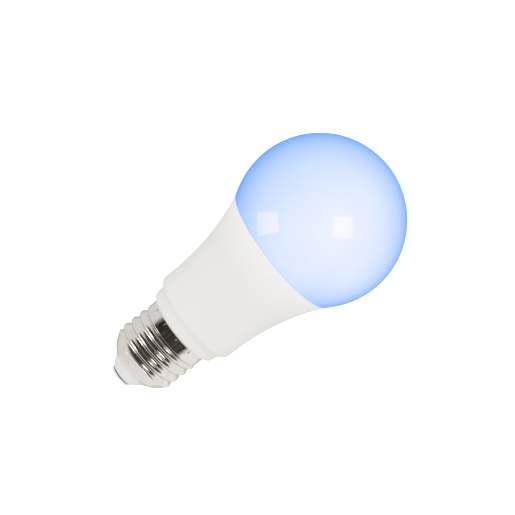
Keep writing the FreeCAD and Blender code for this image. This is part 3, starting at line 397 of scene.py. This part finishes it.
NON_METALS = {
    "silicone": dict(colour=(0.78, 0.78, 0.75), rough=0.42, grain=1.5, mottle=0.05, relief=0.03),
    "pad_grey": dict(colour=(0.24, 0.26, 0.30), rough=0.75, grain=0.5, mottle=0.12, relief=0.03),
    "board_white": dict(
        colour=(0.84, 0.84, 0.82), rough=0.35, grain=1.0, mottle=0.04, relief=0.006, coat=0.3
    ),
    "led_housing": dict(colour=(0.86, 0.86, 0.83), rough=0.38, grain=0.5, mottle=0.04, relief=0.004),
    "header_black": dict(colour=(0.015, 0.015, 0.017), rough=0.45, grain=0.5, mottle=0.2, relief=0.01),
    "socket_white": dict(colour=(0.78, 0.76, 0.70), rough=0.42, grain=0.6, mottle=0.05, relief=0.006),
    "chip_black": dict(colour=(0.016, 0.016, 0.018), rough=0.55, grain=0.3, mottle=0.25, relief=0.012),
    "wire_red": dict(colour=(0.45, 0.02, 0.015), rough=0.38, grain=0.6, mottle=0.1, relief=0.006),
    "wire_blue": dict(colour=(0.02, 0.05, 0.36), rough=0.38, grain=0.6, mottle=0.1, relief=0.006),
    "resistor_coat": dict(colour=(0.27, 0.38, 0.30), rough=0.60, grain=0.4, mottle=0.12, relief=0.03),
    "varistor_blue": dict(
        colour=(0.02, 0.07, 0.36), rough=0.30, grain=0.9, mottle=0.12, relief=0.03, coat=0.4
    ),
    "film_yellow": dict(colour=(0.78, 0.50, 0.05), rough=0.42, grain=0.5, mottle=0.06, relief=0.008),
    "ferrite": dict(colour=(0.03, 0.03, 0.034), rough=0.62, grain=0.3, mottle=0.3, relief=0.02),
    "sleeve_black": dict(
        colour=(0.012, 0.016, 0.03), rough=0.28, grain=1.0, mottle=0.15, relief=0.008, coat=0.4
    ),
    "bobbin_black": dict(colour=(0.02, 0.02, 0.02), rough=0.50, grain=0.5, mottle=0.2, relief=0.01),
    "tape_yellow": dict(
        colour=(0.80, 0.58, 0.05), rough=0.22, grain=0.9, mottle=0.08, relief=0.02, coat=0.4
    ),
    "chip_resistor_black": dict(
        colour=(0.02, 0.02, 0.024), rough=0.32, grain=0.3, mottle=0.2, relief=0.006
    ),
    "chip_capacitor_tan": dict(colour=(0.34, 0.22, 0.13), rough=0.50, grain=0.3, mottle=0.12, relief=0.008),
}


def finish_for(slot):
    """The finish of a material slot, from its own function or from one of the tables."""
    if slot in FINISHES:
        return FINISHES[slot](slot)
    if slot in BOARD_COLOURS:
        return glass_epoxy(slot, BOARD_COLOURS[slot])
    if slot in METALS:
        return surface(slot, metallic=1.0, **METALS[slot])
    return surface(slot, **NON_METALS[slot])


def dress_nodes():
    """Give every CAD node the finish of its material slot."""
    finishes = {}
    for subpart in frame["record"]["subparts"]:
        slot = subpart["material_slot"]
        if slot not in finishes:
            finishes[slot] = finish_for(slot)
        materials = frame["nodes"][subpart["node"]].data.materials
        materials.clear()
        materials.append(finishes[slot])


# ---- studio -----------------------------------------------------------------------------
def camera_frame():
    """The camera's right, up and backward directions."""
    lean_up = Vector((0, math.sin(AXIS_LEAN), math.cos(AXIS_LEAN)))
    across = Vector((1, 0, 0))
    right = lean_up * math.cos(AXIS_RISE) + across * math.sin(AXIS_RISE)
    up = lean_up * math.sin(AXIS_RISE) - across * math.cos(AXIS_RISE)
    back = Vector((0, -math.cos(AXIS_LEAN), math.sin(AXIS_LEAN)))
    return right, up, back


def facing(right, up, back, place):
    """Transform of a camera or light at a place, which looks away from its back direction."""
    return Matrix.Translation(place) @ Matrix((right, up, back)).transposed().to_4x4()


def add_camera():
    """Long lens that takes in PICTURE_WIDTH at the lamp."""
    right, up, back = camera_frame()
    target = Vector((0, 0, LOOK_HEIGHT)) + up * LOOK_DROP
    data = bpy.data.cameras.new("camera")
    data.sensor_width = SENSOR_WIDTH
    data.lens = SENSOR_WIDTH * CAMERA_DISTANCE / PICTURE_WIDTH
    camera = bpy.data.objects.new("camera", data)
    camera.matrix_world = facing(right, up, back, target + back * CAMERA_DISTANCE)
    bpy.context.scene.collection.objects.link(camera)
    bpy.context.scene.camera = camera


def receivers(name, nodes):
    """The CAD nodes that a light falls on."""
    group = bpy.data.collections.new(name)
    for node in nodes:
        group.objects.link(node)
    return group


def add_softbox(name, direction, size, radiance, group):
    """Light facing the globe, upright in the picture. Only gloss shows it.

    A flat light of radiance 1 gives off pi watts from each square metre.
    """
    right, up, back = camera_frame()
    way = (right * direction[0] + up * direction[1] + back * direction[2]).normalized()
    globe_low, globe_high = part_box("diffuser_globe")
    centre = Vector((0, 0, globe_high.z - (globe_high.x - globe_low.x) / 2))
    data = bpy.data.lights.new(name, "AREA")
    data.shape = "RECTANGLE"
    data.size, data.size_y = size
    strongest = max(radiance)
    data.color = scaled(radiance, 1 / strongest)
    data.energy = strongest * math.pi * data.size * data.size_y
    side = up.cross(way).normalized()
    light = bpy.data.objects.new(name, data)
    light.matrix_world = facing(side, way.cross(side), way, centre + way * SOFTBOX_DISTANCE)
    light.visible_diffuse = False
    light.light_linking.receiver_collection = group
    bpy.context.scene.collection.objects.link(light)


def add_softboxes():
    """A softbox to the right and one to the left, each with its own strength on the globe."""
    globe = frame["nodes"]["diffuser_globe"]
    on_globe = receivers("on_globe", [globe])
    elsewhere = receivers("elsewhere", [node for node in frame["nodes"].values() if node != globe])
    add_softbox("key_on_globe", KEY_DIRECTION, KEY_SIZE, KEY_ON_GLOBE, on_globe)
    add_softbox("side_on_globe", SIDE_DIRECTION, SIDE_SIZE, SIDE_ON_GLOBE, on_globe)
    add_softbox("key_elsewhere", KEY_DIRECTION, KEY_SIZE, SOFTBOX_ELSEWHERE, elsewhere)
    add_softbox("side_elsewhere", SIDE_DIRECTION, SIDE_SIZE, SOFTBOX_ELSEWHERE, elsewhere)


def towards(nodes, links, direction, low, high):
    """Number that runs from low, on the far side of the world, to high in a direction."""
    place = nodes.new("ShaderNodeTexCoord")
    along = nodes.new("ShaderNodeVectorMath")
    along.operation = "DOT_PRODUCT"
    along.inputs[1].default_value = direction
    links.new(place.outputs["Generated"], along.inputs[0])
    return remap(nodes, links, along.outputs["Value"], -1.0, 1.0, low, high)


def around(degrees):
    """Place of an angle from the camera's direction on a scale from 0, opposite it, to 1."""
    return (math.cos(math.radians(degrees)) + 1) / 2


def room_colours(nodes, links, level):
    """Studio as polished metal sees it: white sides, and a mottled dark room behind the camera."""
    surround = colour_ramp(nodes, links, level, (
        (0.0, BACKDROP_FAR),
        (around(BACKDROP_EDGE), LIT_WALL),
        (around(ROOM_EDGE + ROOM_EDGE_BLUR), LIT_WALL),
        (around(ROOM_EDGE), ROOM_EDGE_COLOUR),
    ))
    mottle = nodes.new("ShaderNodeTexNoise")
    mottle.inputs["Scale"].default_value = ROOM_MOTTLE
    mottle.inputs["Detail"].default_value = 6.0
    room = blend_colours(nodes, links, mottle.outputs["Fac"], ROOM_DARK, ROOM_LIGHT, ROOM_MOTTLE_SPAN)

    inside = remap(nodes, links, level, around(ROOM_EDGE), around(ROOM_EDGE - ROOM_EDGE_BLUR))
    colour = nodes.new("ShaderNodeMix")
    colour.data_type = "RGBA"
    links.new(inside, colour.inputs["Factor"])
    links.new(surround, colour.inputs["A"])
    links.new(room, colour.inputs["B"])
    return colour.outputs["Result"]


def choose(nodes, links, ray_kind, otherwise, chosen):
    """The chosen shader for rays of one kind, and the other one for the rest."""
    path = nodes.new("ShaderNodeLightPath")
    mix = nodes.new("ShaderNodeMixShader")
    links.new(path.outputs[ray_kind], mix.inputs["Fac"])
    links.new(otherwise, mix.inputs[1])
    links.new(chosen, mix.inputs[2])
    return mix.outputs["Shader"]


def add_world():
    """White studio, a little brighter in front. Mirrors see the unlit room behind the camera too."""
    world = bpy.data.worlds.new("studio")
    world.use_nodes = True
    bpy.context.scene.world = world
    nodes, links = world.node_tree.nodes, world.node_tree.links
    _, _, front = camera_frame()

    studio = nodes["Background"]
    studio.inputs["Color"].default_value = (*STUDIO_WHITE, 1)
    strength = towards(nodes, links, front, AMBIENT - FRONT_FILL, AMBIENT + FRONT_FILL)
    links.new(strength, studio.inputs["Strength"])

    mirrored = nodes.new("ShaderNodeBackground")
    level = towards(nodes, links, front, 0.0, 1.0)
    links.new(room_colours(nodes, links, level), mirrored.inputs["Color"])
    links.new(towards(nodes, links, Vector((1, 0, 0)), *SIDE_LEVELS), mirrored.inputs["Strength"])

    backdrop = nodes.new("ShaderNodeBackground")
    backdrop.inputs["Color"].default_value = (*BACKDROP, 1)

    lit = choose(
        nodes, links, "Is Glossy Ray", studio.outputs["Background"], mirrored.outputs["Background"]
    )
    seen = choose(nodes, links, "Is Camera Ray", lit, backdrop.outputs["Background"])
    links.new(seen, nodes["World Output"].inputs["Surface"])


def floor_finish():
    """White paper sweep, bright enough to lose every shadow."""
    material, nodes, links, shader = new_surface("paper_sweep")
    fibres = object_noise(nodes, links, 40 * MM, detail=4.0)
    shade = blend_colours(nodes, links, fibres, (0.93, 0.93, 0.93), (0.95, 0.95, 0.95))
    links.new(shade, shader.inputs["Base Color"])
    links.new(shade, shader.inputs["Emission Color"])
    shader.inputs["Emission Strength"].default_value = FLOOR_GLOW
    shader.inputs["Roughness"].default_value = 0.9
    return material


def add_floor():
    """Wide floor under the lamp's contact. Mirrors look past it to the studio."""
    signs = ((-1, -1), (1, -1), (1, 1), (-1, 1))
    corners = [(FLOOR_REACH * x, FLOOR_REACH * y, 0) for x, y in signs]
    mesh = bpy.data.meshes.new("floor")
    mesh.from_pydata(corners, [], [(0, 1, 2, 3)])
    mesh.materials.append(floor_finish())
    floor = bpy.data.objects.new("floor", mesh)
    floor.location.z = cad_low.z - FLOOR_GAP
    floor.visible_glossy = False
    floor.visible_diffuse = False
    bpy.context.scene.collection.objects.link(floor)


dress_nodes()
add_camera()
add_softboxes()
add_world()
add_floor()
bpy.context.scene.view_settings.view_transform = "Standard"
